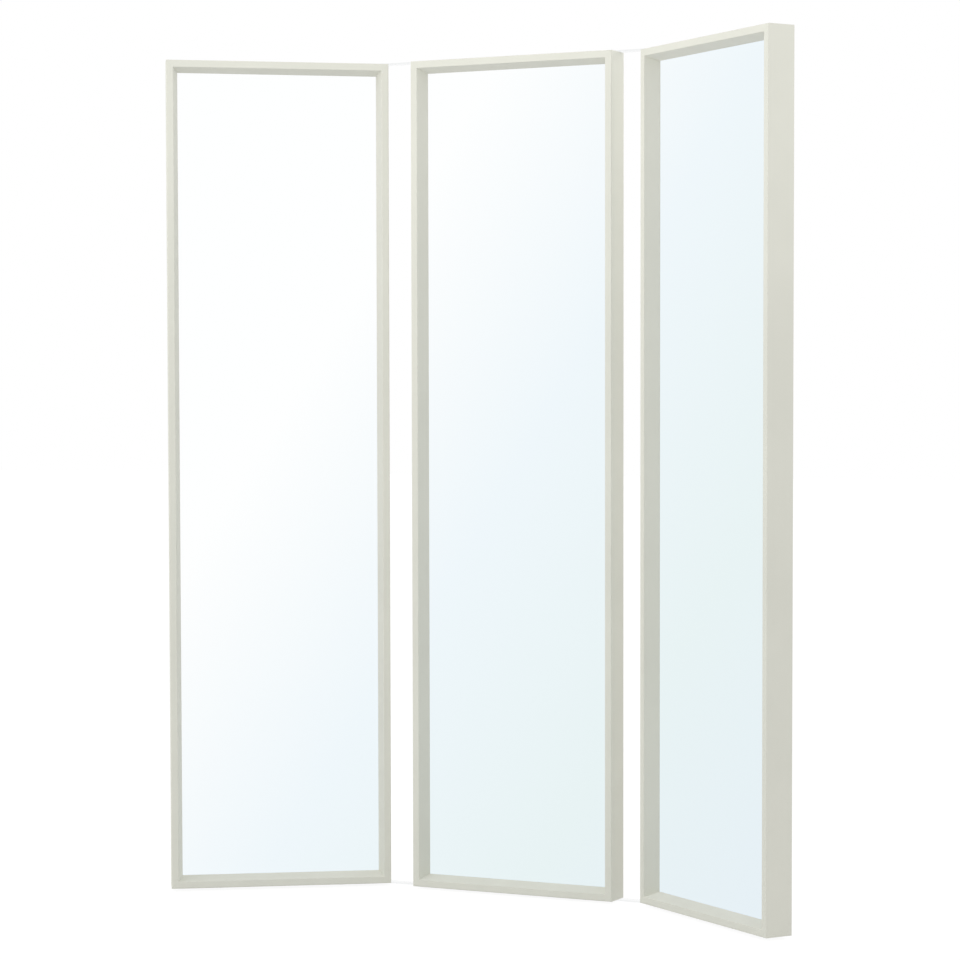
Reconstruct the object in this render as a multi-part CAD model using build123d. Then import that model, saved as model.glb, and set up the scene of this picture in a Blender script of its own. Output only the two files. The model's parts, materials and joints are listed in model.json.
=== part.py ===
from build123d import *
import os

# Three-panel floor mirror. A fixed middle panel carries a wing on each side. Each wing turns
# on two upright pivot pins, held by flat aluminium arms on the top and the bottom of the middle
# panel. Every panel is a mitred moulding round a mirror pane set well back in a splayed recess.
# Millimetres. +X is to the right seen from the front, +Y to the back, +Z up.

# Panel
panel_width = 400.0
panel_height = 1500.0        # middle panel, without its glides
frame_depth = 52.0
face_width = 12.5            # flat front face of the moulding
splay_run = 8.0              # how far the inner side leans in on its way to the glass
glass_setback = 28.5         # front face to glass
nose_land = 1.2              # straight land at the foot of the splay
rebate_lap = 6.0             # how far the moulding laps over the edge of the glass
front_arris = 1.5
inner_arris = 0.8
back_arris = 1.0

# Pane, board and the strips behind them
glass_thickness = 4.0
board_thickness = 3.0
pane_clearance = 1.0         # all round, inside the rebate
batten_width = 8.0
batten_depth = 12.0
batten_clearance = 0.3
batten_arris = 1.5

# Corner plates, let in flush across each mitre at the back
plate_thickness = 1.5
plate_leg = 58.0
plate_width = 11.0
plate_clearance = 0.15
plate_corner = 2.5
plate_screws = (24.0, 46.0)  # from the panel's corner, along each leg
plate_screw_diameter = 3.0
plate_screw_length = 10.0

# Glides under the bottom rails
glide_height = 5.0           # under the middle panel
glide_diameter = 16.0
glide_edge = 1.5
glide_stem_diameter = 3.0
glide_stem_length = 12.0
glide_side_distance = 90.0   # from the panel's side
glide_back_distance = 10.0   # from the panel's back

# Wings: place and travel
flat_gap = 72.0              # between the frames when a wing stands in line
rest_fold = 34.5             # degrees forward of in line, as the part is stored
full_fold = 108.0            # degrees from in line to folded forward
pivot_inset = 5.3            # from the wing's inner side to the pin
pivot_setin = 13.0           # from the wing's back to the pin

# Pivot arms and pins
arm_thickness = 3.0
arm_width = 16.0
arm_eye_radius = 13.0
arm_seat = 62.0              # length of arm on the middle panel
arm_end_corner = 5.0
arm_neck_fillet = 8.0
arm_screws = (14.0, 33.0, 52.0)   # from the middle panel's side
arm_screw_diameter = 3.5
arm_screw_length = 13.0
washer_thickness = 0.8       # flange of the bush, between arm and wing
pin_diameter = 5.0
pin_head_diameter = 8.0
pin_depth = 14.0             # in the wing
bush_wall = 1.5
bush_flange_diameter = 10.0
bush_clearance = 0.05        # radial running fit on the pin
peg_diameter = 3.4           # stop peg, in the curved slot of the arm
peg_orbit = 8.0
peg_depth = 9.0
peg_clearance = 0.3
peg_shortfall = 0.4          # peg top below the arm's outer face

# Keyhole plates for a wall fixing, let in flush on the back of the middle panel
hanger_drop = 120.0          # from the top of the panel to the entry hole
hanger_height = 50.0
hanger_entry_diameter = 7.0
hanger_slot_width = 3.8
hanger_slot_rise = 9.0
hanger_screw_pitch = 38.0
pocket_depth = 7.0
pocket_margin = 1.0

fit_clearance = 0.05         # round screws, pins and bushes in their holes
head_ratio = 1.9             # screw head to shank

# Worked out from the sizes above
glass_line = face_width + splay_run
rebate_wall = glass_line - rebate_lap
glass_back = glass_setback + glass_thickness
board_back = glass_back + board_thickness
wing_height = panel_height - 2 * washer_thickness
pivot_y = frame_depth - pivot_setin
pivot_x = panel_width / 2 + flat_gap + pivot_inset
plate_middle = rebate_wall / 2
facing_back = Rot(-90, 0, 0)  # turns +Z to the back


def screw(diameter, length, grow=0.0):
    """Countersunk screw, its head flush with z = 0 and its shank pointing down."""
    shank = diameter / 2 + grow
    head = diameter * head_ratio / 2 + grow
    tip = length - shank
    outline = Polyline(
        (0, 0), (head, 0), (shank, shank - head), (shank, -tip), (0, -length - grow), close=True
    )
    return revolve(Plane.XZ * make_face(outline), Axis.Z)


def back_screw(grow=0.0):
    """Screw of the plates on the back."""
    return screw(plate_screw_diameter, plate_screw_length, grow)


def moulding(length):
    """One frame member, standing up with its outer side on x = 0, mitred at both ends."""
    section = make_face(
        Polyline(
            (0, 0),
            (face_width, 0),
            (glass_line, glass_setback - nose_land),
            (glass_line, glass_setback),
            (rebate_wall, glass_setback),
            (rebate_wall, frame_depth),
            (0, frame_depth),
            close=True,
        )
    )
    corners = section.vertices()
    section = fillet(corners.sort_by_distance((0, 0))[0], front_arris)
    section = fillet(section.vertices().sort_by_distance((face_width, 0))[0], inner_arris)
    section = fillet(section.vertices().sort_by_distance((0, frame_depth))[0], back_arris)
    bar = extrude(section, length)
    mitre = make_face(
        Polyline(
            (0, 0), (glass_line, glass_line), (glass_line, length - glass_line), (0, length), close=True
        )
    )
    return bar & extrude(Plane.XZ * mitre, frame_depth, both=True)


def four_corners(item, height):
    """A shape at a panel's lower left corner, and its mirror images at the other three."""
    left = [item, mirror(item, Plane.XY.offset(height / 2))]
    return left + [mirror(shape, Plane.YZ) for shape in left]


def corner_plate_face(grow=0.0):
    """Outline of the L-shaped plate at the lower left corner, seen from the front."""
    edge = plate_middle - plate_width / 2 - grow
    inside = plate_middle + plate_width / 2 + grow
    end = plate_leg + grow
    face = make_face(
        Polyline(
            (edge, edge),
            (end, edge),
            (end, inside),
            (inside, inside),
            (inside, end),
            (edge, end),
            close=True,
        )
    )
    tips = face.vertices().filter_by(lambda v: max(v.X, v.Y) > end - 1 or v.X + v.Y < 3 * edge)
    return fillet(tips, plate_corner)


def plate_at_back(face, thickness):
    """A flat shape drawn in x and z, let in flush with the back of the frame."""
    return extrude(Plane.XZ.offset(-frame_depth) * face, thickness)


def corner_plates(height):
    """Four corner plates and their screws, with the recesses and holes that take them."""
    corner = Pos(-panel_width / 2, 0, 0)
    spots = [(along, plate_middle) for along in plate_screws]
    spots += [(z, x) for x, z in spots]
    seats = [corner * Pos(x, frame_depth, z) * facing_back for x, z in spots]
    bores = [seat * back_screw(fit_clearance) for seat in seats]
    screws = [seat * back_screw() for seat in seats]
    plate = corner * plate_at_back(corner_plate_face(), plate_thickness) - bores
    recess = corner * plate_at_back(corner_plate_face(plate_clearance), plate_thickness)

    def everywhere(items):
        return [copy for item in items for copy in four_corners(item, height)]

    return everywhere([plate]), everywhere(screws), everywhere([recess] + bores)


def glides(drop):
    """The two glides of a panel, reaching down by drop, and the holes for their stems."""
    pad = Pos(0, 0, -drop / 2) * Cylinder(glide_diameter / 2, drop)
    pad = fillet(pad.edges().sort_by(Axis.Z)[0], glide_edge)
    stem = Pos(0, 0, glide_stem_length / 2) * Cylinder(glide_stem_diameter / 2, glide_stem_length)
    hole = Pos(0, 0, glide_stem_length / 2) * Cylinder(
        glide_stem_diameter / 2 + fit_clearance, glide_stem_length + 2 * fit_clearance
    )
    across = panel_width / 2 - glide_side_distance
    places = [Pos(side * across, frame_depth - glide_back_distance, 0) for side in (-1, 1)]
    return [place * (pad + stem) for place in places], [place * hole for place in places]


def panel(name, height, drop, extra_cuts):
    """All pieces of one framed pane, centred on x = 0, standing on z = 0, front face on y = 0."""
    plates, screws, plate_cuts = corner_plates(height)
    pads, pad_cuts = glides(drop)
    stile = Pos(-panel_width / 2, 0, 0) * moulding(height)
    rail = Pos(-panel_width / 2, 0, height) * Rot(0, 90, 0) * moulding(panel_width)
    members = {
        "left_stile": stile,
        "right_stile": mirror(stile, Plane.YZ),
        "top_rail": rail,
        "bottom_rail": mirror(rail, Plane.XY.offset(height / 2)),
    }
    cuts = plate_cuts + pad_cuts + extra_cuts
    pieces = {key: member - cuts for key, member in members.items()}

    opening = (panel_width - 2 * rebate_wall, height - 2 * rebate_wall)
    pane = (opening[0] - 2 * pane_clearance, opening[1] - 2 * pane_clearance)
    middle = height / 2
    pieces["mirror_glass"] = Pos(0, glass_setback + glass_thickness / 2, middle) * Box(
        pane[0], glass_thickness, pane[1]
    )
    pieces["backing_board"] = Pos(0, glass_back + board_thickness / 2, middle) * Box(
        pane[0], board_thickness, pane[1]
    )

    long_run = opening[0] - 2 * batten_clearance
    short_run = opening[1] - 2 * (batten_clearance + batten_width + batten_clearance)
    batten_y = board_back + batten_depth / 2
    reach = batten_clearance + batten_width / 2
    across = batten(long_run, Axis.X)
    upright = batten(short_run, Axis.Z)
    pieces["top_batten"] = Pos(0, batten_y, middle + opening[1] / 2 - reach) * across
    pieces["bottom_batten"] = Pos(0, batten_y, middle - opening[1] / 2 + reach) * across
    pieces["left_batten"] = Pos(-opening[0] / 2 + reach, batten_y, middle) * upright
    pieces["right_batten"] = Pos(opening[0] / 2 - reach, batten_y, middle) * upright

    pieces["corner_plates"] = plates
    pieces["corner_screws"] = screws
    pieces["glides"] = pads
    return {f"{name}_{key}": piece for key, piece in pieces.items()}


def batten(length, axis):
    """A strip that holds the board and the pane in the rebate, eased on its back edges."""
    size = (length, batten_depth, batten_width) if axis == Axis.X else (batten_width, batten_depth, length)
    bar = Box(*size)
    back = bar.faces().sort_by(Axis.Y)[-1]
    return chamfer(back.edges().filter_by(axis), batten_arris)


def arm():
    """Top left pivot arm: the pin on the origin, the middle panel towards +X, outer face up."""
    length = flat_gap + pivot_inset + arm_seat
    outline = Circle(arm_eye_radius) + Pos(length / 2, 0) * Rectangle(length, arm_width)
    necks = outline.vertices().filter_by(lambda v: 0 < v.X < length / 2)
    outline = fillet(necks, arm_neck_fillet)
    ends = outline.vertices().filter_by(lambda v: v.X > length - 1)
    outline = fillet(ends, arm_end_corner)
    slot_width = peg_diameter + 2 * peg_clearance
    outline -= SlotArc(CenterArc((0, 0), peg_orbit, 180, full_fold), slot_width)
    holes = [seat * screw(arm_screw_diameter, arm_screw_length, fit_clearance) for seat in arm_screw_seats()]
    return extrude(outline, arm_thickness) - holes - pivot_pin(fit_clearance)


def arm_screw_seats():
    """Places of the arm's screw heads, in the arm's own frame."""
    return [Pos(flat_gap + pivot_inset + along, 0, arm_thickness) for along in arm_screws]


def pivot_pin(grow=0.0):
    """Pin riveted into the arm, its head flush with the outer face."""
    radius = pin_diameter / 2 + grow
    head = pin_head_diameter / 2 + grow
    end = -washer_thickness - pin_depth
    ease = radius / 4
    outline = Polyline(
        (0, arm_thickness),
        (head, arm_thickness),
        (radius, arm_thickness - head + radius),
        (radius, end + ease),
        (radius - ease, end),
        (0, end),
        close=True,
    )
    return revolve(Plane.XZ * make_face(outline), Axis.Z)


def bush():
    """Flanged bush in the wing, its flange filling the gap under the arm."""
    inner = pin_diameter / 2 + bush_clearance
    outer = pin_diameter / 2 + bush_wall
    outline = Polyline(
        (inner, 0),
        (bush_flange_diameter / 2, 0),
        (bush_flange_diameter / 2, -washer_thickness),
        (outer, -washer_thickness),
        (outer, -washer_thickness - pin_depth),
        (inner, -washer_thickness - pin_depth),
        close=True,
    )
    return revolve(Plane.XZ * make_face(outline), Axis.Z)


def bush_bore():
    """Hole in the wing for the bush, in the arm's own frame."""
    deep = pin_depth + fit_clearance
    return Pos(0, 0, -washer_thickness - deep / 2) * Cylinder(
        pin_diameter / 2 + bush_wall + fit_clearance, deep
    )


def peg(grow=0.0):
    """Stop peg of the wing when it stands in line, in the arm's own frame."""
    top = arm_thickness - peg_shortfall
    low = -washer_thickness - peg_depth - grow
    return Pos(-peg_orbit, 0, (top + low) / 2) * Cylinder(peg_diameter / 2 + grow, top - low)


def both_ends(item):
    """Top and bottom copies of a shape drawn at the top left pivot, in the middle panel's frame."""
    top = Pos(-pivot_x, pivot_y, panel_height) * item
    return [top, mirror(top, Plane.XY.offset(panel_height / 2))]


def hanger_plate():
    """Keyhole plate on the back of a stile, its entry hole on the origin, drawn in x and z."""
    centre = hanger_slot_rise / 2
    face = Pos(0, centre) * RectangleRounded(plate_width, hanger_height, plate_corner)
    face -= Circle(hanger_entry_diameter / 2)
    face -= Pos(0, hanger_slot_rise / 2) * Rectangle(hanger_slot_width, hanger_slot_rise)
    face -= Pos(0, hanger_slot_rise) * Circle(hanger_slot_width / 2)
    return face


def hangers():
    """Keyhole plates and screws of the middle panel, and the recesses and pockets for them."""
    place = Pos(panel_width / 2 - plate_middle, 0, panel_height - hanger_drop)
    centre = hanger_slot_rise / 2
    seats = [
        place * Pos(0, frame_depth, centre + side * hanger_screw_pitch / 2) * facing_back
        for side in (-1, 1)
    ]
    bores = [seat * back_screw(fit_clearance) for seat in seats]
    outer = RectangleRounded(
        plate_width + 2 * plate_clearance, hanger_height + 2 * plate_clearance, plate_corner
    )
    recess = place * plate_at_back(Pos(0, centre) * outer, plate_thickness)
    pocket_width = hanger_entry_diameter + 2 * pocket_margin
    hollow = SlotOverall(hanger_slot_rise + pocket_width, pocket_width, rotation=90)
    pocket = place * plate_at_back(Pos(0, centre) * hollow, plate_thickness + pocket_depth)
    plate = place * plate_at_back(hanger_plate(), plate_thickness) - bores
    screws = [seat * back_screw() for seat in seats]

    def pair(items):
        return list(items) + [mirror(item, Plane.YZ) for item in items]

    return pair([plate]), pair(screws), pair([recess, pocket] + bores)


def arm_screw(grow=0.0):
    """Screw that holds a pivot arm to the middle panel."""
    return screw(arm_screw_diameter, arm_screw_length, grow)


def on_right(items):
    """Mirror images, on the right, of shapes made for the left side."""
    return [mirror(item, Plane.YZ) for item in items]


def middle_panel():
    """The middle panel, with the arms, pins, screws and hangers that it carries."""
    seats = arm_screw_seats()
    bores = [bore for seat in seats for bore in both_ends(seat * arm_screw(fit_clearance))]
    screws = [item for seat in seats for item in both_ends(seat * arm_screw())]
    arms = both_ends(arm())
    pins = both_ends(pivot_pin())
    hanger_plates, hanger_screws, hanger_cuts = hangers()
    pieces = panel("middle", panel_height, glide_height, bores + on_right(bores) + hanger_cuts)
    pieces["left_top_arm"], pieces["left_bottom_arm"] = arms
    pieces["right_top_arm"], pieces["right_bottom_arm"] = on_right(arms)
    pieces["left_pivot_pins"] = pins
    pieces["right_pivot_pins"] = on_right(pins)
    pieces["arm_screws"] = screws + on_right(screws)
    pieces["wall_hanger_plates"] = hanger_plates
    pieces["wall_hanger_screws"] = hanger_screws
    return pieces


def wing(name, side):
    """A wing on the left (side -1) or the right (side 1), folded forward to its stored angle.

    It is drawn in its own frame, and then stands in line with the middle panel before it turns.
    """
    beside = Pos(side * (panel_width + flat_gap), 0, washer_thickness)

    def own_frame(items):
        near = items if side < 0 else on_right(items)
        return [beside.inverse() * item for item in near]

    cuts = own_frame(both_ends(bush_bore()) + both_ends(peg(fit_clearance)))
    pieces = panel(name, wing_height, glide_height + washer_thickness, cuts)
    pieces[f"{name}_pivot_bushes"] = own_frame(both_ends(bush()))
    pieces[f"{name}_stop_pegs"] = own_frame(both_ends(peg()))
    hinge = Pos(side * pivot_x, pivot_y, 0)
    folded = hinge * Rot(0, 0, -side * rest_fold) * hinge.inverse() * beside
    return {key: moved(piece, folded) for key, piece in pieces.items()}


def moved(piece, where):
    """A shape, or each shape of a group, in a new place."""
    if isinstance(piece, list):
        return [where * item for item in piece]
    return where * piece


def joined(piece):
    """One shape for a node, its separate solids kept separate."""
    return Compound(children=piece) if isinstance(piece, list) else piece


nodes = {**middle_panel(), **wing("left", -1), **wing("right", 1)}
nodes = {name: joined(piece) for name, piece in nodes.items()}

# Origin: on the floor, at the middle of the whole part's box
whole = Compound(children=[solid for node in nodes.values() for solid in node.solids()])
box = whole.bounding_box()
to_origin = Pos(-box.center().X, -box.center().Y, -box.min.Z)

os.makedirs("parts", exist_ok=True)
for name, node in nodes.items():
    export_step(to_origin * node, f"parts/{name}.step")
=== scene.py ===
import json
import math

import bmesh
import bpy
from mathutils import Matrix, Vector

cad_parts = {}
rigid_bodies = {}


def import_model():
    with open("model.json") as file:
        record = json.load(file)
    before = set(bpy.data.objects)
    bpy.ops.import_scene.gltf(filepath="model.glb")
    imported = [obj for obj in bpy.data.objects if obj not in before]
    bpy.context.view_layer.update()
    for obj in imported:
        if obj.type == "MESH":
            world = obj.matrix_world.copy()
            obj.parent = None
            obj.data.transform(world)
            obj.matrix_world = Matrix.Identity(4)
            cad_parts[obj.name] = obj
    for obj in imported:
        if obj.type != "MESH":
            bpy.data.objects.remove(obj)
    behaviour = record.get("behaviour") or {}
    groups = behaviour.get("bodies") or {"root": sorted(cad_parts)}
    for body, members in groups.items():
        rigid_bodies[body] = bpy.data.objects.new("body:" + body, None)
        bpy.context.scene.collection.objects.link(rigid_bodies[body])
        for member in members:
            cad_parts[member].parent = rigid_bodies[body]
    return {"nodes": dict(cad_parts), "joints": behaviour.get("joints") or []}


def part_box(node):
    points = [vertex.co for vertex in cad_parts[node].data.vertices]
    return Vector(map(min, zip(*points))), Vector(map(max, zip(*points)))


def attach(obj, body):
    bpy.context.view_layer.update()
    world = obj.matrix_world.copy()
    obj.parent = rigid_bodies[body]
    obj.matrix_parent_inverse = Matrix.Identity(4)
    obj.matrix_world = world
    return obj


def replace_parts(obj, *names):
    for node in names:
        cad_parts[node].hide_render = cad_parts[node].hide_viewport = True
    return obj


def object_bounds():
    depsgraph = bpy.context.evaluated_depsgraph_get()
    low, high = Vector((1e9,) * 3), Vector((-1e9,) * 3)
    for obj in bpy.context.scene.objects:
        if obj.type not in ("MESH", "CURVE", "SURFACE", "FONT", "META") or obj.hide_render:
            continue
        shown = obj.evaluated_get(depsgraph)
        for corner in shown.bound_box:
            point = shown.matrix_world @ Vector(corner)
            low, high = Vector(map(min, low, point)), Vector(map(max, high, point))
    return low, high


# Finishes, small fasteners, stage, light and camera of a three panel floor mirror.
# Metres, in the frame of the solids: +X to the right seen from the front, +Y to the back, +Z up.

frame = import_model()
cad_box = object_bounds()

MM = 0.001
SAME_POINT = 0.001 * MM      # corners nearer to each other than this are merged
SORT_DIGITS = 5              # of metres, so that solids in a row sort along the row
UP = Vector((0, 0, 1))
TO_BACK = Vector((0, 1, 0))
PANELS = ("middle", "left", "right")
BODIES = {"middle": "middle_panel", "left": "left_wing", "right": "right_wing"}
MEMBERS = ("left_stile", "right_stile", "top_rail", "bottom_rail")
UPRIGHT_BATTENS = ("left_batten", "right_batten")
CROSS_BATTENS = ("top_batten", "bottom_batten")


# ---------------------------------------------------------------- places

def turn_of(panel):
    """Turn about its pivot that takes a panel from in line with the middle one to its place at rest."""
    for joint in frame["joints"]:
        if joint["child"] == BODIES[panel]:
            pivot = Vector(joint["pos_m"])
            fold = math.radians(-joint["range_deg"][0])
            turn = Matrix.Rotation(fold, 4, Vector(joint["axis"]))
            return Matrix.Translation(pivot) @ turn @ Matrix.Translation(-pivot)
    return Matrix.Identity(4)


TURNS = {panel: turn_of(panel) for panel in PANELS}


def surround(points):
    """Lowest and highest corners of some points."""
    low = Vector([min(point[axis] for point in points) for axis in range(3)])
    high = Vector([max(point[axis] for point in points) for axis in range(3)])
    return low, high


def solid_boxes(node, panel):
    """Lowest and highest corners of each solid of a node, with its panel turned in line."""
    back = TURNS[panel].inverted()
    merged = bmesh.new()
    merged.from_mesh(frame["nodes"][node].data)
    bmesh.ops.remove_doubles(merged, verts=merged.verts, dist=SAME_POINT)
    waiting = set(merged.verts)
    boxes = []
    while waiting:
        island = [waiting.pop()]
        for vert in island:
            for edge in vert.link_edges:
                other = edge.other_vert(vert)
                if other in waiting:
                    waiting.remove(other)
                    island.append(other)
        boxes.append(surround([back @ vert.co for vert in island]))
    merged.free()
    return sorted(boxes, key=lambda box: [round(value, SORT_DIGITS) for value in box[0]])


def own_box(node, panel):
    """Lowest and highest corners of a whole node, with its panel turned in line."""
    return surround([corner for box in solid_boxes(node, panel) for corner in box])


def panel_half(panel):
    """Half of a panel's width and height, as a vector with nothing along its depth."""
    low = own_box(f"{panel}_left_stile", panel)[0]
    high = own_box(f"{panel}_right_stile", panel)[1]
    return Vector(((high.x - low.x) / 2, 0, (high.z - low.z) / 2))


def front_middle(panel):
    """Middle of a panel's front, with the panel turned in line."""
    return own_box(f"{panel}_left_stile", panel)[0] + panel_half(panel)


# ---------------------------------------------------------------- material tools

def linear(hex_colour):
    """An sRGB hex colour as linear RGBA."""
    channels = [int(hex_colour[start : start + 2], 16) / 255 for start in (1, 3, 5)]
    return [c / 12.92 if c <= 0.04045 else ((c + 0.055) / 1.055) ** 2.4 for c in channels] + [1.0]


def add(tree, kind, inputs, stops=None, **settings):
    """Adds a node with its settings and its colour stops, and sets or links its sockets.

    A socket given a node is linked to that node's first output.
    """
    node = tree.nodes.new(kind)
    for name, value in settings.items():
        setattr(node, name, value)
    if stops:
        elements = node.color_ramp.elements
        elements.remove(elements[1])
        elements[0].position, elements[0].color = stops[0][0], linear(stops[0][1])
        for position, colour in stops[1:]:
            elements.new(position).color = linear(colour)
    for key, value in inputs.items():
        if isinstance(value, bpy.types.Node):
            value = value.outputs[0]
        if isinstance(value, bpy.types.NodeSocket):
            tree.links.new(value, node.inputs[key])
        else:
            node.inputs[key].default_value = value
    return node


COLOUR_A, COLOUR_B, COLOUR_OUT = 6, 7, 2   # a Mix node's sockets when it mixes colours
LOW, HIGH = 0.3, 0.7                       # nearly all of a noise's values lie between these


def new_material(name, panel=None):
    """An empty material, its node tree, and object coordinates.

    With a panel, they start at the middle of that panel's front and are turned in line with it.
    """
    material = bpy.data.materials.new(name)
    material.use_nodes = True
    tree = material.node_tree
    tree.nodes.clear()
    place = add(tree, "ShaderNodeTexCoord", {}).outputs["Object"]
    if panel:
        in_line = TURNS[panel].inverted()
        place = add(tree, "ShaderNodeMapping", {
            "Vector": place,
            "Rotation": in_line.to_euler(),
            "Location": in_line.translation - front_middle(panel),
        }).outputs["Vector"]
    return material, tree, place


# ---------------------------------------------------------------- materials

FOIL_SKIN = 0.3 * MM          # what lies deeper than this under the moulding's outside is raw board
REBATE_DEPTH = 29.0 * MM      # from the panel's front, just behind the face of the glass
MITRE_HAIRLINE = 0.06 * MM    # half of it


def foil_wrapped_fibreboard(panel):
    """Medium density fibreboard moulding, wrapped in satin off-white foil and mitred."""
    # To the eye: one even, slightly warm white with a low soft sheen and the faintest print of
    # the board under it. A hairline marks each mitre, and raw brown board shows in the rebate
    # and in the routed recesses, where the foil stops.
    material, tree, place = new_material(f"foil_wrapped_fibreboard_{panel}", panel)
    low, high = own_box(f"{panel}_left_stile", panel)
    back_skin = high.y - low.y - FOIL_SKIN

    # Raw board lies under the skin of the outer sides, from the rebate to the skin of the back.
    inwards = add(tree, "ShaderNodeVectorMath", {0: place}, operation="ABSOLUTE")
    inwards = add(tree, "ShaderNodeVectorMath", {0: panel_half(panel), 1: inwards}, operation="SUBTRACT")
    from_side, minus_depth, from_end = add(tree, "ShaderNodeSeparateXYZ", {"Vector": inwards}).outputs
    nearest = add(tree, "ShaderNodeMath", {0: from_side, 1: from_end}, operation="MINIMUM")
    under = add(tree, "ShaderNodeMath", {0: nearest, 1: FOIL_SKIN}, operation="GREATER_THAN")
    behind = add(tree, "ShaderNodeMath", {0: minus_depth, 1: -REBATE_DEPTH}, operation="LESS_THAN")
    before = add(tree, "ShaderNodeMath", {0: minus_depth, 1: -back_skin}, operation="GREATER_THAN")
    raw = add(tree, "ShaderNodeMath", {0: behind, 1: before}, operation="MULTIPLY")
    raw = add(tree, "ShaderNodeMath", {0: raw, 1: under}, operation="MULTIPLY")
    mitre = add(tree, "ShaderNodeMath", {0: from_side, 1: from_end, 2: MITRE_HAIRLINE}, operation="COMPARE")

    cloud = add(tree, "ShaderNodeTexNoise", {"Vector": place, "Scale": 1 / (140 * MM)})
    foil = add(tree, "ShaderNodeValToRGB", {"Fac": cloud}, stops=[(0.35, "#DFDFD4"), (0.65, "#E2E2D7")])
    lined = add(tree, "ShaderNodeMix", {
        "Factor": mitre,
        COLOUR_A: foil,
        COLOUR_B: linear("#CFCFC4"),
    }, data_type="RGBA")
    fibres = add(tree, "ShaderNodeTexNoise", {
        "Vector": place,
        "Scale": 1 / (1.2 * MM),
        "Detail": 4.0,
        "Roughness": 0.7,
    })
    board = add(tree, "ShaderNodeValToRGB", {"Fac": fibres}, stops=[(LOW, "#98805F"), (HIGH, "#B79B77")])
    colour = add(tree, "ShaderNodeMix", {
        "Factor": raw,
        COLOUR_A: lined.outputs[COLOUR_OUT],
        COLOUR_B: board,
    }, data_type="RGBA")
    sheen = add(tree, "ShaderNodeTexNoise", {"Vector": place, "Scale": 1 / (30 * MM)})
    roughness = add(tree, "ShaderNodeMapRange", {
        "Value": sheen,
        "From Min": LOW,
        "From Max": HIGH,
        "To Min": 0.42,
        "To Max": 0.5,
    })
    print_through = add(tree, "ShaderNodeTexNoise", {
        "Vector": place,
        "Scale": 1 / (2.5 * MM),
        "Detail": 3.0,
    })
    relief = add(tree, "ShaderNodeBump", {"Height": print_through, "Distance": 0.02 * MM, "Strength": 0.18})
    skin = add(tree, "ShaderNodeBsdfPrincipled", {
        "Base Color": colour.outputs[COLOUR_OUT],
        "Roughness": roughness,
        "IOR": 1.46,
        "Specular IOR Level": 0.35,
        "Normal": relief,
    })
    add(tree, "ShaderNodeOutputMaterial", {"Surface": skin})
    return material


# Painted reflection: the mirror's colour runs along this way from white to a faint blue-green.
PAINTED_SHEEN_WAY = Vector((0.791, 0.299, -0.534))   # to the right, the back and down
PAINTED_SHEEN_FROM, PAINTED_SHEEN_TO = -0.80, 0.40           # metres along that way
PAINTED_SHEEN_STOPS = [(0.0, "#FEFFFF"), (0.35, "#EFF7FB"), (0.7, "#E8F3F4"), (1.0, "#E6F0F6")]


def silvered_glass():
    """Float glass, 4 mm, silvered and painted behind."""
    # To the eye: a clean mirror, dead flat, with a painted reflection in its colour: a white that cools
    # to a faint blue-green towards the lower right.
    material, tree, place = new_material("silvered_float_glass")
    # Painted reflection: the colour follows the place along that way, whatever the mirror faces.
    along = add(tree, "ShaderNodeVectorMath", {0: place, 1: PAINTED_SHEEN_WAY}, operation="DOT_PRODUCT")
    share = add(tree, "ShaderNodeMapRange", {
        "Value": along.outputs["Value"],
        "From Min": PAINTED_SHEEN_FROM,
        "From Max": PAINTED_SHEEN_TO,
    })
    colour = add(tree, "ShaderNodeValToRGB", {"Fac": share}, stops=PAINTED_SHEEN_STOPS)
    wiped = add(tree, "ShaderNodeTexNoise", {"Vector": place, "Scale": 1 / (60 * MM)})
    roughness = add(tree, "ShaderNodeMapRange", {
        "Value": wiped,
        "From Min": LOW,
        "From Max": HIGH,
        "To Min": 0.008,
        "To Max": 0.014,
    })
    silver = add(tree, "ShaderNodeBsdfPrincipled", {
        "Base Color": colour,
        "Metallic": 1.0,
        "Roughness": roughness,
    })
    add(tree, "ShaderNodeOutputMaterial", {"Surface": silver})
    return material


def hardboard():
    """Hardboard, wet-pressed and oil-tempered, its smooth side out."""
    # To the eye: dark brown with short lighter fibres, uneven in broad patches, and a dull sheen.
    material, tree, place = new_material("tempered_hardboard")
    fibres = add(tree, "ShaderNodeTexNoise", {
        "Vector": place,
        "Scale": 1 / (1.6 * MM),
        "Detail": 6.0,
        "Roughness": 0.75,
    })
    patches = add(tree, "ShaderNodeTexNoise", {"Vector": place, "Scale": 1 / (60 * MM), "Detail": 3.0})
    fine = add(tree, "ShaderNodeValToRGB", {"Fac": fibres}, stops=[
        (LOW, "#5C4330"),
        (0.5, "#6B4E37"),
        (0.75, "#80624A"),
    ])
    broad = add(tree, "ShaderNodeValToRGB", {"Fac": patches}, stops=[(0.35, "#5F4531"), (0.65, "#745640")])
    colour = add(tree, "ShaderNodeMix", {
        "Factor": 0.4,
        COLOUR_A: fine,
        COLOUR_B: broad,
    }, data_type="RGBA")
    roughness = add(tree, "ShaderNodeMapRange", {
        "Value": fibres,
        "From Min": LOW,
        "From Max": HIGH,
        "To Min": 0.48,
        "To Max": 0.62,
    })
    relief = add(tree, "ShaderNodeBump", {"Height": fibres, "Distance": 0.05 * MM, "Strength": 0.5})
    wood = add(tree, "ShaderNodeBsdfPrincipled", {
        "Base Color": colour.outputs[COLOUR_OUT],
        "Roughness": roughness,
        "IOR": 1.5,
        "Normal": relief,
    })
    add(tree, "ShaderNodeOutputMaterial", {"Surface": wood})
    return material


GRAIN_STRETCH = 0.03          # scale of the grain along the strip, over that across it


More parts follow.
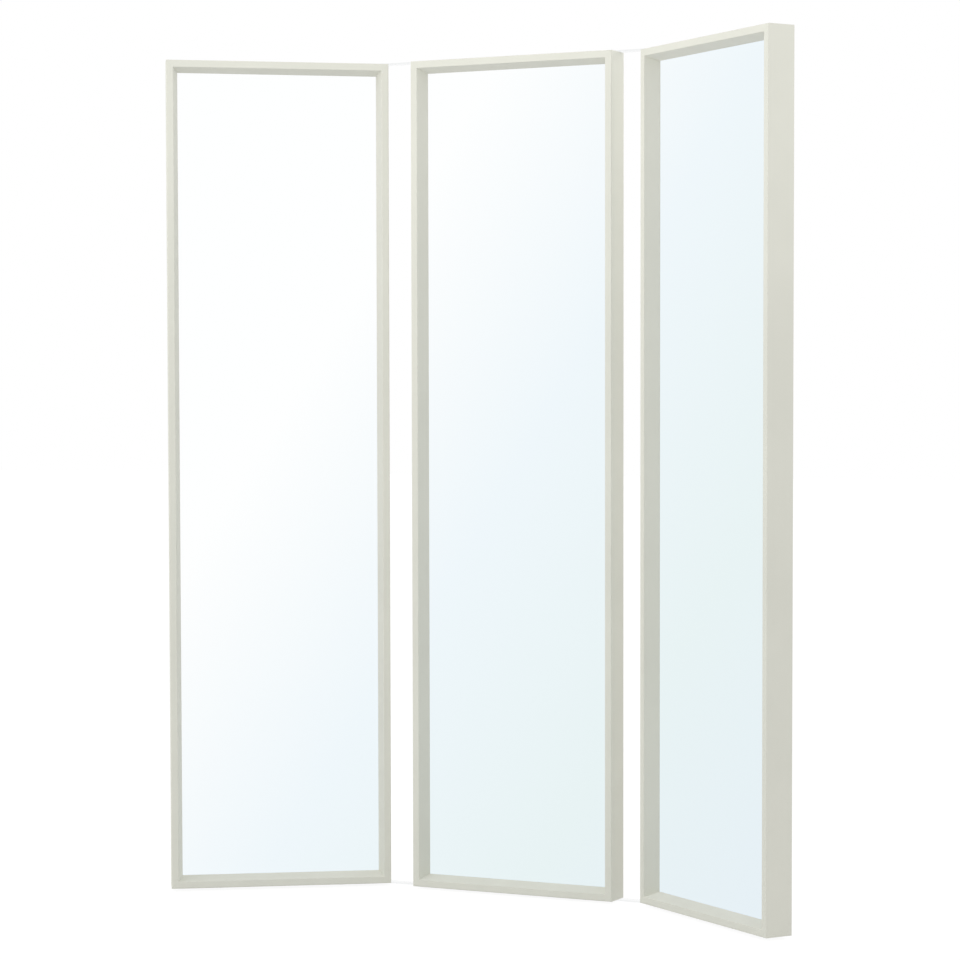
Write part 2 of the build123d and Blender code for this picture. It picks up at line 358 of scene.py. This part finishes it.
def planed_pine(panel, upright):
    """Pine, planed to a strip with its back edges eased."""
    # To the eye: pale yellow wood with straight darker latewood lines and fine pores, all drawn
    # out along the strip.
    way = "upright" if upright else "across"
    material, tree, place = new_material(f"planed_pine_{way}_{panel}", panel)
    stretch = (1, 1, GRAIN_STRETCH) if upright else (GRAIN_STRETCH, 1, 1)
    drawn = add(tree, "ShaderNodeMapping", {"Vector": place, "Scale": stretch})
    rings = add(tree, "ShaderNodeTexNoise", {"Vector": drawn, "Scale": 1 / (3.0 * MM), "Detail": 3.0})
    pores = add(tree, "ShaderNodeTexNoise", {"Vector": drawn, "Scale": 1 / (0.7 * MM)})
    growth = add(tree, "ShaderNodeValToRGB", {"Fac": rings}, stops=[
        (0.32, "#A9804F"),
        (0.5, "#CDAA78"),
        (HIGH, "#DCC093"),
    ])
    flecks = add(tree, "ShaderNodeValToRGB", {"Fac": pores}, stops=[(LOW, "#B08A5A"), (HIGH, "#E0C79C")])
    colour = add(tree, "ShaderNodeMix", {
        "Factor": 0.25,
        COLOUR_A: growth,
        COLOUR_B: flecks,
    }, data_type="RGBA")
    roughness = add(tree, "ShaderNodeMapRange", {
        "Value": pores,
        "From Min": LOW,
        "From Max": HIGH,
        "To Min": 0.55,
        "To Max": 0.7,
    })
    relief = add(tree, "ShaderNodeBump", {"Height": pores, "Distance": 0.06 * MM, "Strength": 0.5})
    wood = add(tree, "ShaderNodeBsdfPrincipled", {
        "Base Color": colour.outputs[COLOUR_OUT],
        "Roughness": roughness,
        "IOR": 1.5,
        "Normal": relief,
    })
    add(tree, "ShaderNodeOutputMaterial", {"Surface": wood})
    return material


STREAK_STRETCH = 0.02         # scale of the polishing streaks along the bar, over that across it


def polished_aluminium():
    """Aluminium flat bar, cut to shape and polished along its length."""
    # To the eye: nearly as bright as its surroundings, with faint streaks along the bar.
    material, tree, place = new_material("polished_aluminium")
    # Polishing streaks are about 0.1 mm apart; they are drawn at 0.6 mm to show at all.
    drawn = add(tree, "ShaderNodeMapping", {"Vector": place, "Scale": (STREAK_STRETCH, 1, 1)})
    streaks = add(tree, "ShaderNodeTexNoise", {"Vector": drawn, "Scale": 1 / (0.6 * MM), "Detail": 3.0})
    colour = add(tree, "ShaderNodeValToRGB", {"Fac": streaks}, stops=[(LOW, "#F0F1F1"), (HIGH, "#F8F9F9")])
    roughness = add(tree, "ShaderNodeMapRange", {
        "Value": streaks,
        "From Min": LOW,
        "From Max": HIGH,
        "To Min": 0.12,
        "To Max": 0.22,
    })
    relief = add(tree, "ShaderNodeBump", {"Height": streaks, "Distance": 0.01 * MM, "Strength": 0.3})
    metal = add(tree, "ShaderNodeBsdfPrincipled", {
        "Base Color": colour,
        "Metallic": 1.0,
        "Roughness": roughness,
        "Normal": relief,
    })
    add(tree, "ShaderNodeOutputMaterial", {"Surface": metal})
    return material


def turned_stainless_steel():
    """Stainless steel, turned and then polished at the head."""
    # To the eye: a warm light grey metal, a little darker than aluminium, with a clean gloss.
    material, tree, place = new_material("turned_stainless_steel")
    marks = add(tree, "ShaderNodeTexNoise", {"Vector": place, "Scale": 1 / (1.5 * MM), "Detail": 3.0})
    colour = add(tree, "ShaderNodeValToRGB", {"Fac": marks}, stops=[(LOW, "#C6C5C2"), (HIGH, "#D8D7D4")])
    roughness = add(tree, "ShaderNodeMapRange", {
        "Value": marks,
        "From Min": LOW,
        "From Max": HIGH,
        "To Min": 0.18,
        "To Max": 0.28,
    })
    relief = add(tree, "ShaderNodeBump", {"Height": marks, "Distance": 0.01 * MM, "Strength": 0.3})
    metal = add(tree, "ShaderNodeBsdfPrincipled", {
        "Base Color": colour,
        "Metallic": 1.0,
        "Roughness": roughness,
        "Normal": relief,
    })
    add(tree, "ShaderNodeOutputMaterial", {"Surface": metal})
    return material


def galvanised_steel():
    """Mild steel strip, zinc coated and then pressed."""
    # To the eye: a cool mid grey metal, faintly cloudy, broken into small zinc crystals of
    # slightly different greys.
    material, tree, place = new_material("galvanised_steel")
    clouds = add(tree, "ShaderNodeTexNoise", {"Vector": place, "Scale": 1 / (9 * MM), "Detail": 4.0})
    crystals = add(tree, "ShaderNodeTexVoronoi", {"Vector": place, "Scale": 1 / (2.2 * MM)})
    crystal_grey = add(tree, "ShaderNodeSeparateColor", {"Color": crystals.outputs["Color"]})
    broad = add(tree, "ShaderNodeValToRGB", {"Fac": clouds}, stops=[(LOW, "#979B9E"), (HIGH, "#ADB1B3")])
    spangle = add(tree, "ShaderNodeValToRGB", {"Fac": crystal_grey}, stops=[
        (0.0, "#8D9195"),
        (0.5, "#A4A8AB"),
        (1.0, "#BEC2C4"),
    ])
    colour = add(tree, "ShaderNodeMix", {
        "Factor": 0.6,
        COLOUR_A: broad,
        COLOUR_B: spangle,
    }, data_type="RGBA")
    roughness = add(tree, "ShaderNodeMapRange", {"Value": crystal_grey, "To Min": 0.34, "To Max": 0.46})
    relief = add(tree, "ShaderNodeBump", {"Height": clouds, "Distance": 0.02 * MM, "Strength": 0.4})
    zinc = add(tree, "ShaderNodeBsdfPrincipled", {
        "Base Color": colour.outputs[COLOUR_OUT],
        "Metallic": 1.0,
        "Roughness": roughness,
        "Normal": relief,
    })
    add(tree, "ShaderNodeOutputMaterial", {"Surface": zinc})
    return material


def bright_zinc_plated_steel():
    """Steel wire, cold headed and bright zinc plated, as screws and brads are."""
    # To the eye: a light, slightly blue grey metal, brighter than the plates it holds.
    material, tree, place = new_material("bright_zinc_plated_steel")
    marks = add(tree, "ShaderNodeTexNoise", {"Vector": place, "Scale": 1 / (1.2 * MM), "Detail": 3.0})
    colour = add(tree, "ShaderNodeValToRGB", {"Fac": marks}, stops=[(LOW, "#C9CDD1"), (HIGH, "#DCE0E3")])
    roughness = add(tree, "ShaderNodeMapRange", {
        "Value": marks,
        "From Min": LOW,
        "From Max": HIGH,
        "To Min": 0.2,
        "To Max": 0.32,
    })
    relief = add(tree, "ShaderNodeBump", {"Height": marks, "Distance": 0.01 * MM, "Strength": 0.3})
    metal = add(tree, "ShaderNodeBsdfPrincipled", {
        "Base Color": colour,
        "Metallic": 1.0,
        "Roughness": roughness,
        "Normal": relief,
    })
    add(tree, "ShaderNodeOutputMaterial", {"Surface": metal})
    return material


def painted_recess_shade():
    """Steel of a screw's punched cross recess, painted dark grey as the shade that falls in it."""
    # To the eye: a dark dull grey painted shade, which makes the cross stand out from the head.
    material, tree, place = new_material("painted_recess_shade")
    shade_mottle = add(tree, "ShaderNodeTexNoise", {"Vector": place, "Scale": 1 / (0.8 * MM), "Detail": 3.0})
    colour = add(tree, "ShaderNodeValToRGB", {"Fac": shade_mottle}, stops=[(LOW, "#4A4B4C"), (HIGH, "#66686A")])
    roughness = add(tree, "ShaderNodeMapRange", {
        "Value": shade_mottle,
        "From Min": LOW,
        "From Max": HIGH,
        "To Min": 0.45,
        "To Max": 0.6,
    })
    relief = add(tree, "ShaderNodeBump", {"Height": shade_mottle, "Distance": 0.03 * MM, "Strength": 0.5})
    metal = add(tree, "ShaderNodeBsdfPrincipled", {
        "Base Color": colour,
        "Metallic": 1.0,
        "Roughness": roughness,
        "Normal": relief,
    })
    add(tree, "ShaderNodeOutputMaterial", {"Surface": metal})
    return material


def moulded_nylon():
    """Nylon 6, injection moulded in its natural colour."""
    # To the eye: milky off-white with a waxy gloss, its thin edges letting a little light in.
    material, tree, place = new_material("moulded_nylon")
    flow = add(tree, "ShaderNodeTexNoise", {"Vector": place, "Scale": 1 / (4 * MM)})
    colour = add(tree, "ShaderNodeValToRGB", {"Fac": flow}, stops=[(LOW, "#DEDCD2"), (HIGH, "#E8E6DE")])
    roughness = add(tree, "ShaderNodeMapRange", {
        "Value": flow,
        "From Min": LOW,
        "From Max": HIGH,
        "To Min": 0.38,
        "To Max": 0.5,
    })
    relief = add(tree, "ShaderNodeBump", {"Height": flow, "Distance": 0.03 * MM, "Strength": 0.4})
    nylon = add(tree, "ShaderNodeBsdfPrincipled", {
        "Base Color": colour,
        "Roughness": roughness,
        "IOR": 1.53,
        "Subsurface Weight": 0.15,
        "Subsurface Scale": 1.0 * MM,
        "Normal": relief,
    })
    add(tree, "ShaderNodeOutputMaterial", {"Surface": nylon})
    return material


def moulded_polypropylene():
    """Polypropylene, injection moulded in a spark-eroded mould."""
    # To the eye: plain white with a fine matt grit that breaks the gloss.
    material, tree, place = new_material("moulded_polypropylene")
    grit = add(tree, "ShaderNodeTexNoise", {"Vector": place, "Scale": 1 / (0.5 * MM)})
    colour = add(tree, "ShaderNodeValToRGB", {"Fac": grit}, stops=[(LOW, "#E4E4E0"), (HIGH, "#ECECE8")])
    roughness = add(tree, "ShaderNodeMapRange", {
        "Value": grit,
        "From Min": LOW,
        "From Max": HIGH,
        "To Min": 0.45,
        "To Max": 0.58,
    })
    relief = add(tree, "ShaderNodeBump", {"Height": grit, "Distance": 0.04 * MM, "Strength": 0.5})
    plastic = add(tree, "ShaderNodeBsdfPrincipled", {
        "Base Color": colour,
        "Roughness": roughness,
        "IOR": 1.49,
        "Normal": relief,
    })
    add(tree, "ShaderNodeOutputMaterial", {"Surface": plastic})
    return material


# ---------------------------------------------------------------- dressing the solids

MIRROR = silvered_glass()
BOARD = hardboard()
ALUMINIUM = polished_aluminium()
STAINLESS = turned_stainless_steel()
GALVANISED = galvanised_steel()
BRIGHT_ZINC = bright_zinc_plated_steel()
PAINTED_RECESS_SHADE = painted_recess_shade()
NYLON = moulded_nylon()
POLYPROPYLENE = moulded_polypropylene()


def dress(node, material):
    """Gives a solid of the frame its finish."""
    mesh = frame["nodes"][node].data
    mesh.materials.clear()
    mesh.materials.append(material)


def dress_panel(panel):
    """Finishes of one framed mirror."""
    foil = foil_wrapped_fibreboard(panel)
    for member in MEMBERS:
        dress(f"{panel}_{member}", foil)
    for battens, upright in ((UPRIGHT_BATTENS, True), (CROSS_BATTENS, False)):
        pine = planed_pine(panel, upright)
        for batten in battens:
            dress(f"{panel}_{batten}", pine)
    dress(f"{panel}_mirror_glass", MIRROR)
    dress(f"{panel}_backing_board", BOARD)
    dress(f"{panel}_corner_plates", GALVANISED)
    dress(f"{panel}_corner_screws", BRIGHT_ZINC)
    dress(f"{panel}_glides", POLYPROPYLENE)


def dress_fittings():
    """Finishes of the pivots and the wall fixings."""
    for side in ("left", "right"):
        for end in ("top", "bottom"):
            dress(f"{side}_{end}_arm", ALUMINIUM)
        dress(f"{side}_pivot_pins", STAINLESS)
        dress(f"{side}_pivot_bushes", NYLON)
        dress(f"{side}_stop_pegs", STAINLESS)
    dress("arm_screws", STAINLESS)
    dress("wall_hanger_plates", GALVANISED)
    dress("wall_hanger_screws", BRIGHT_ZINC)


for panel in PANELS:
    dress_panel(panel)
dress_fittings()


# ---------------------------------------------------------------- screws and brads

def turned(profile, steps):
    """A closed shape turned about Z from the distances and heights of its profile."""
    shape = bmesh.new()
    verts = [shape.verts.new((distance, 0, height)) for distance, height in profile]
    for first, second in zip(verts, verts[1:]):
        shape.edges.new((first, second))
    bmesh.ops.spin(
        shape,
        geom=shape.verts[:] + shape.edges[:],
        cent=(0, 0, 0),
        axis=UP,
        angle=math.tau,
        steps=steps,
        use_merge=True,
    )
    bmesh.ops.remove_doubles(shape, verts=shape.verts, dist=SAME_POINT)
    bmesh.ops.recalc_face_normals(shape, faces=shape.faces)
    return shape


def as_mesh(shape, name):
    """A mesh from a bmesh, which is freed."""
    mesh = bpy.data.meshes.new(name)
    shape.to_mesh(mesh)
    shape.free()
    return mesh


def as_object(mesh, name):
    """An object at the origin that holds a mesh."""
    thing = bpy.data.objects.new(name, mesh)
    bpy.context.scene.collection.objects.link(thing)
    return thing


def cut_out(shape, cutter):
    """The mesh of a closed shape with another one taken out of it."""
    blank = as_object(as_mesh(shape, "blank"), "blank")
    tool = as_object(as_mesh(cutter, "tool"), "tool")
    cut = blank.modifiers.new("cut", "BOOLEAN")
    cut.operation = "DIFFERENCE"
    cut.solver = "EXACT"
    cut.object = tool
    view = bpy.context.evaluated_depsgraph_get()
    mesh = bpy.data.meshes.new_from_object(blank.evaluated_get(view))
    for thing in (blank, tool):
        bpy.data.objects.remove(thing)
    return mesh


HEAD_TO_SHANK = 1.9
SCREW_STEPS = 28

# Shares of the head's diameter.
RECESS_SPAN = 0.6
RECESS_BLADE = 0.17
RECESS_DEPTH = 0.27
RECESS_RISE = 0.03        # the cutter's height above the head
RECESS_SLACK = 0.001      # a face within this of the top or the floor counts as level with it

RECESS_FLOOR = 0.55       # the recess narrows to this share at its floor


def cross_cutter(head):
    """A tapered cross that cuts the recess of a screw's head."""
    span, blade = RECESS_SPAN * head, RECESS_BLADE * head
    depth, rise = RECESS_DEPTH * head, RECESS_RISE * head
    middle = Matrix.Translation((0, 0, (rise - depth) / 2))
    shape = bmesh.new()
    bmesh.ops.create_cube(shape, size=1, matrix=middle @ Matrix.Diagonal((blade, blade, depth + rise, 1)))
    shape.normal_update()
    sides = [face for face in shape.faces if not round(face.normal.z)]
    for face in bmesh.ops.extrude_discrete_faces(shape, faces=sides)["faces"]:
        outwards = Vector((*face.calc_center_median().xy, 0)).normalized()
        bmesh.ops.translate(shape, verts=face.verts, vec=outwards * (span - blade) / 2)
    floor = [vert for vert in shape.verts if vert.co.z < 0]
    bmesh.ops.scale(shape, verts=floor, vec=(RECESS_FLOOR, RECESS_FLOOR, 1))
    bmesh.ops.recalc_face_normals(shape, faces=shape.faces)
    return shape


def cross_screw(head, length):
    """Mesh of a countersunk screw: its head on z = 0, its point down, its recess in a second, painted-shade
    finish.
    """
    rim = head / 2
    shank = rim / HEAD_TO_SHANK
    profile = [(0, 0), (rim, 0), (shank, shank - rim), (shank, shank - length), (0, -length)]
    mesh = cut_out(turned(profile, SCREW_STEPS), cross_cutter(head))
    for face in mesh.polygons:
        depth = -face.center.z / head
        within = RECESS_SLACK < depth < RECESS_DEPTH + RECESS_SLACK
        central = face.center.xy.length < RECESS_SPAN * rim
        face.material_index = int(within and central)
    return mesh


def gather(mesh, places):
    """One bmesh with a copy of a mesh at each place."""
    shape = bmesh.new()
    for place in places:
        copy = mesh.copy()
        copy.transform(place)
        shape.from_mesh(copy)
        bpy.data.meshes.remove(copy)
    return shape


def facing(out):
    """Turns +Z to a direction."""
    return UP.rotation_difference(out).to_matrix().to_4x4()


GOLDEN_TURN = math.pi * (3 - math.sqrt(5))    # no two screws in a row stop at the same angle


def head_seats(node, panel, out_of):
    """Where a node's screws have their heads, each turned out of the wood and stopped at its own angle."""
    seats = []
    for index, (low, high) in enumerate(solid_boxes(node, panel)):
        middle = (low + high) / 2
        out = out_of(middle)
        head = middle + out * abs(out.dot(high - low)) / 2
        stopped = Matrix.Rotation(index * GOLDEN_TURN, 4, "Z")
        seats.append(TURNS[panel] @ Matrix.Translation(head) @ facing(out) @ stopped)
    return seats


def fasten(name, shape, materials, panel):
    """A finished piece that rides on its panel's body."""
    mesh = as_mesh(shape, name)
    for material in materials:
        mesh.materials.append(material)
    thing = as_object(mesh, name)
    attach(thing, BODIES[panel])
    return thing


def cross_screws(node, panel, out_of, material):
    """Cross recessed screws in place of a node's plain ones."""
    low, high = solid_boxes(node, panel)[0]
    out = out_of((low + high) / 2)
    length = abs(out.dot(high - low))
    head = (sum(high - low) - length) / 2
    shape = gather(cross_screw(head, length), head_seats(node, panel, out_of))
    # The recess takes the dark painted shade as its second finish.
    finishes = [material, PAINTED_RECESS_SHADE]
    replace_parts(fasten(f"{node}_cross_recessed", shape, finishes, panel), node)


def out_of_back(middle):
    """Screws on the back face outwards to the back."""
    return TO_BACK


def out_of_arm(middle):
    """Screws of the top arms face up, and those of the bottom arms face down."""
    half_height = (cad_box[0][2] + cad_box[1][2]) / 2
    return UP if middle.z > half_height else -UP


BRAD_HEAD = 2.4 * MM
BRAD_FLAT = 1.44 * MM         # the nearly flat middle of its head
BRAD_SHANK = 1.2 * MM
BRAD_HEIGHT = 0.5 * MM        # its head's, at the middle
BRAD_FLAT_HEIGHT = 0.4 * MM
BRAD_EDGE_HEIGHT = 0.15 * MM
BRAD_LENGTH = 15.0 * MM
BRAD_SPACING = 170.0 * MM
BRAD_STEPS = 12


def brad():
    """Mesh of a brad: its low domed head stands on z = 0, its shank points down."""
    head, flat, shank = BRAD_HEAD / 2, BRAD_FLAT / 2, BRAD_SHANK / 2
    profile = [
        (0, BRAD_HEIGHT),
        (flat, BRAD_FLAT_HEIGHT),
        (head, BRAD_EDGE_HEIGHT),
        (head, 0),
        (shank, 0),
        (shank, shank - BRAD_LENGTH),
        (0, -BRAD_LENGTH),
    ]
    return as_mesh(turned(profile, BRAD_STEPS), "brad")


def brad_seats(panel):
    """Places of the brads, driven sideways through the battens into the wall of the rebate."""
    middle = front_middle(panel)
    seats = []
    for batten in UPRIGHT_BATTENS + CROSS_BATTENS:
        low, high = own_box(f"{panel}_{batten}", panel)
        centre = (low + high) / 2
        along, across = (2, 0) if high.z - low.z > high.x - low.x else (0, 2)
        inwards = Vector((0, 0, 0))
        inwards[across] = math.copysign(1, middle[across] - centre[across])
        count = round((high[along] - low[along]) / BRAD_SPACING)
        pitch = (high[along] - low[along]) / count
        for index in range(count):
            head = centre + inwards * (high[across] - low[across]) / 2
            head[along] = low[along] + (index + 0.5) * pitch
            seats.append(TURNS[panel] @ Matrix.Translation(head) @ facing(inwards))
    return seats


for panel in PANELS:
    cross_screws(f"{panel}_corner_screws", panel, out_of_back, BRIGHT_ZINC)
    brads = gather(brad(), brad_seats(panel))
    fasten(f"{panel}_batten_brads", brads, [BRIGHT_ZINC], panel)
cross_screws("wall_hanger_screws", "middle", out_of_back, BRIGHT_ZINC)
cross_screws("arm_screws", "middle", out_of_arm, STAINLESS)


# ---------------------------------------------------------------- stage, light and camera

def unseen_in_mirrors():
    """The mirrors show only the pale studio, and not the frames beside them."""
    for thing in bpy.context.scene.objects:
        if thing.type == "MESH":
            thing.visible_glossy = False


def ray_share(tree, kinds):
    """1 for rays of the given kinds and 0 for all others."""
    rays = add(tree, "ShaderNodeLightPath", {}).outputs
    share = rays[kinds[0]]
    for kind in kinds[1:]:
        share = add(tree, "ShaderNodeMath", {0: share, 1: rays[kind]}, operation="MAXIMUM")
    return share


WHITE = (1, 1, 1, 1)
SKY_STRENGTH = 0.83
MIRRORED = ("Is Glossy Ray", "Is Transmission Ray")


def studio_world():
    """A plain pale surround, white where it is seen."""
    world = bpy.data.worlds.new("pale_studio")
    bpy.context.scene.world = world
    world.use_nodes = True
    tree = world.node_tree
    tree.nodes.clear()
    light = add(tree, "ShaderNodeBackground", {"Color": WHITE, "Strength": SKY_STRENGTH})
    white = add(tree, "ShaderNodeBackground", {"Color": WHITE, "Strength": 1.0})
    seen = ray_share(tree, ("Is Camera Ray",) + MIRRORED)
    both = add(tree, "ShaderNodeMixShader", {0: seen, 1: light, 2: white})
    add(tree, "ShaderNodeOutputWorld", {"Surface": both})


FLOOR_SIZE = 60.0
FLOOR_PAINT = "#E6E6E6"
FLOOR_GLOW = 0.93         # what the camera sees of the floor before any light falls on it
FLOOR_SHADE = 0.13        # how much the light adds, and a shadow takes away


def studio_floor():
    """A wide pale floor, white where it is seen but for the object's faint shadow."""
    shape = bmesh.new()
    bmesh.ops.create_grid(shape, x_segments=1, y_segments=1, size=FLOOR_SIZE / 2)
    floor = as_object(as_mesh(shape, "studio_floor"), "studio_floor")
    material, tree = new_material("pale_studio_floor")[:2]
    paint = add(tree, "ShaderNodeBsdfDiffuse", {"Color": linear(FLOOR_PAINT)})
    shade = add(tree, "ShaderNodeBsdfDiffuse", {"Color": (FLOOR_SHADE, FLOOR_SHADE, FLOOR_SHADE, 1)})
    glow = add(tree, "ShaderNodeEmission", {"Color": WHITE, "Strength": FLOOR_GLOW})
    white = add(tree, "ShaderNodeEmission", {"Color": WHITE, "Strength": 1.0})
    shaded = add(tree, "ShaderNodeAddShader", {0: shade, 1: glow})
    seen = add(tree, "ShaderNodeMixShader", {0: ray_share(tree, ("Is Camera Ray",)), 1: paint, 2: shaded})
    mirrored = add(tree, "ShaderNodeMixShader", {0: ray_share(tree, MIRRORED), 1: seen, 2: white})
    add(tree, "ShaderNodeOutputMaterial", {"Surface": mirrored})
    floor.data.materials.append(material)


def lamp(name, place, target, size, power):
    """A square soft lamp aimed at a point, which is itself unseen."""
    light = bpy.data.lights.new(name, "AREA")
    light.shape = "SQUARE"
    light.size = size
    light.energy = power
    holder = bpy.data.objects.new(name, light)
    holder.location = place
    holder.rotation_euler = (Vector(target) - Vector(place)).to_track_quat("-Z", "Y").to_euler()
    holder.visible_glossy = False
    holder.visible_camera = False
    bpy.context.scene.collection.objects.link(holder)


def studio_lamps():
    """Small soft lamps that add a little to the plain light of the room, most of it near the top."""
    lamp("front_softbox", place=(0.0, -1.0, 1.62), target=(0.0, 0.0, 1.4), size=0.6, power=2.7)
    lamp("left_fill", place=(-2.0, -1.6, 1.9), target=(0.0, 0.0, 0.9), size=1.5, power=13.4)
    lamp("back_softbox", place=(1.8, 1.4, 1.9), target=(0.0, 0.0, 1.0), size=1.2, power=6.0)
    lamp("right_softbox", place=(1.3, -0.2, 1.55), target=(0.6, -0.1, 1.3), size=0.6, power=1.25)
    lamp("gap_light", place=(0.5, 0.4, 1.53), target=(0.2, 0.03, 1.4), size=0.35, power=0.45)


LENS_MM = 107.98
SENSOR_MM = 36.0
CAMERA_FROM_CORNER = Vector((2.5246, -4.6009, 0.8700))   # from the middle panel's lower left front
CAMERA_YAW = math.radians(24.996)
CAMERA_TILT = math.radians(-2.711)
CAMERA_SHIFT = (-0.1259, 0.0697)


def studio_camera():
    """The camera, to the right of the object and a little above its middle."""
    data = bpy.data.cameras.new("studio_camera")
    data.sensor_width = SENSOR_MM
    data.lens = LENS_MM
    data.shift_x, data.shift_y = CAMERA_SHIFT
    camera = bpy.data.objects.new("studio_camera", data)
    camera.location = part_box("middle_left_stile")[0] + CAMERA_FROM_CORNER
    camera.rotation_euler = (math.pi / 2 + CAMERA_TILT, 0, CAMERA_YAW)
    bpy.context.scene.collection.objects.link(camera)
    bpy.context.scene.camera = camera


unseen_in_mirrors()
studio_world()
studio_floor()
studio_lamps()
studio_camera()
bpy.context.scene.view_settings.view_transform = "Standard"
